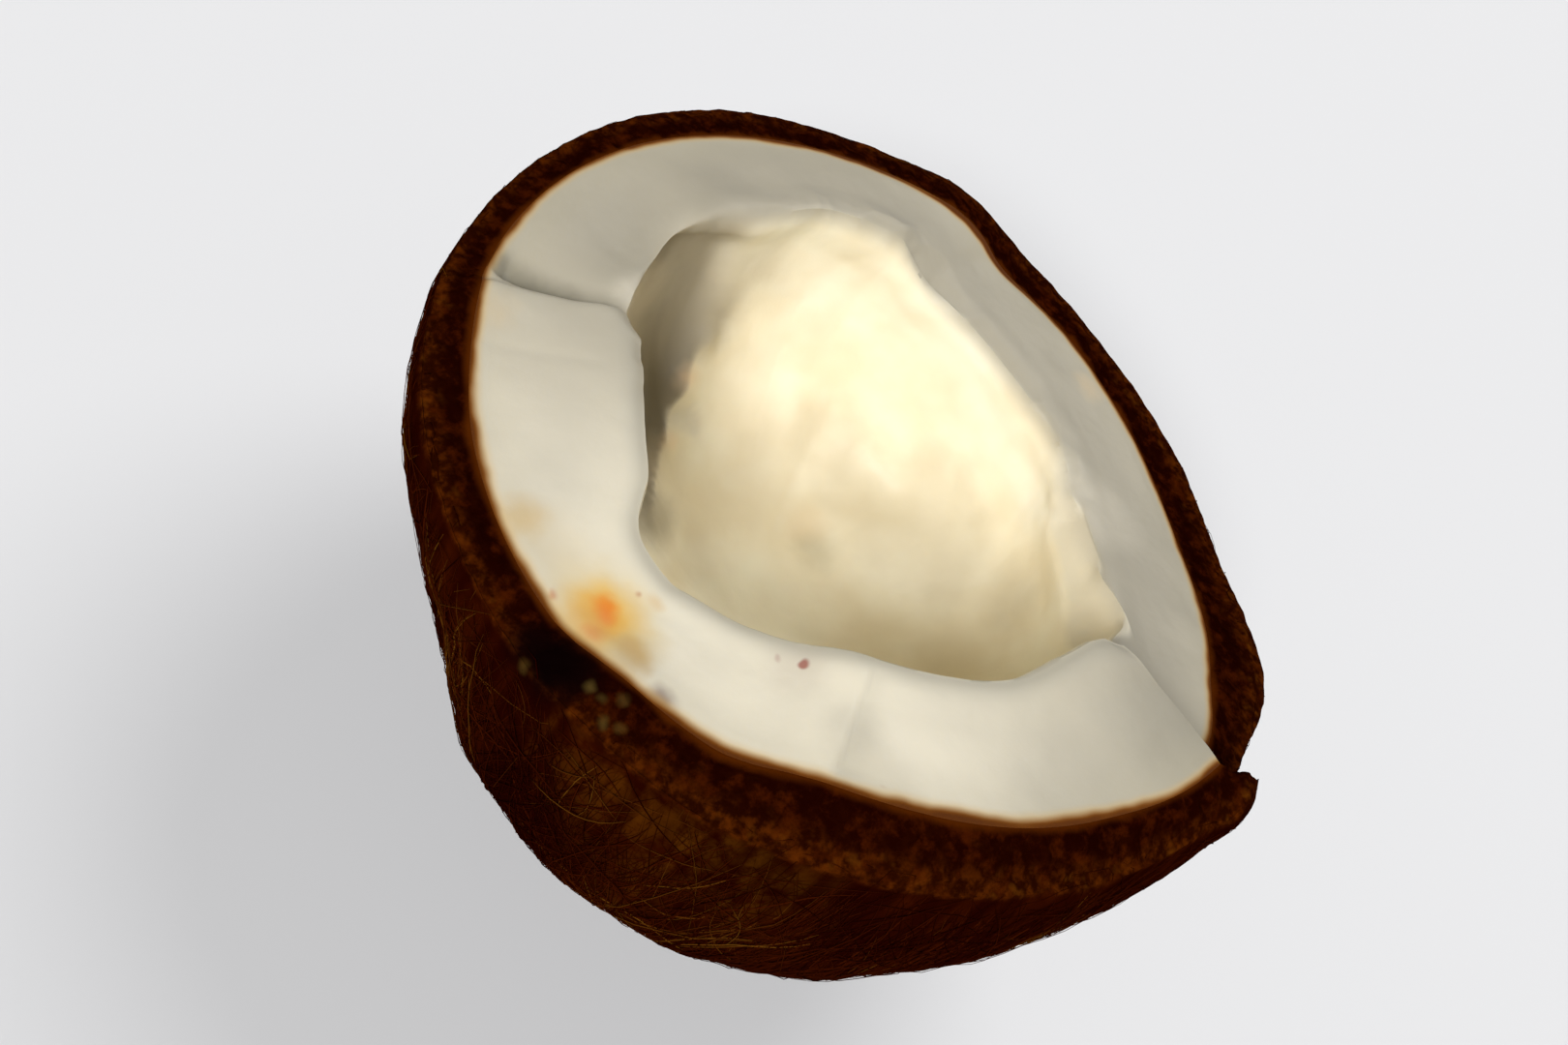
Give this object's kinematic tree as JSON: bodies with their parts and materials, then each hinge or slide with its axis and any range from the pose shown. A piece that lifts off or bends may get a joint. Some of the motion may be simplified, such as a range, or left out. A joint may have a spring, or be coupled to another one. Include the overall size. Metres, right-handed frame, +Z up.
{
  "type": "coconut half",
  "caption": "Half of a ripe coconut cracked across the middle: brown fibrous shell, thick white flesh and an open hollow, standing open side up.",
  "frame": {"origin": "middle of the flat spot that the half rests on", "axes": "+Z up out of the hollow along the nut's long axis; +X towards the sharp step in the broken face, +Y away from the picture's camera"},
  "size_m": [0.1104, 0.1114, 0.0652],
  "materials": {
    "shell": "hard dark brown coconut shell, matt, covered with fine flat-lying fibre, rough where it broke",
    "kernel": "moist white coconut flesh with a soft waxy gloss, cream inside the hollow, a thin brown skin at its outer edge"
  },
  "bodies": {
    "root": {"shell": "shell", "kernel": "kernel"}
  },
  "joints": []
}
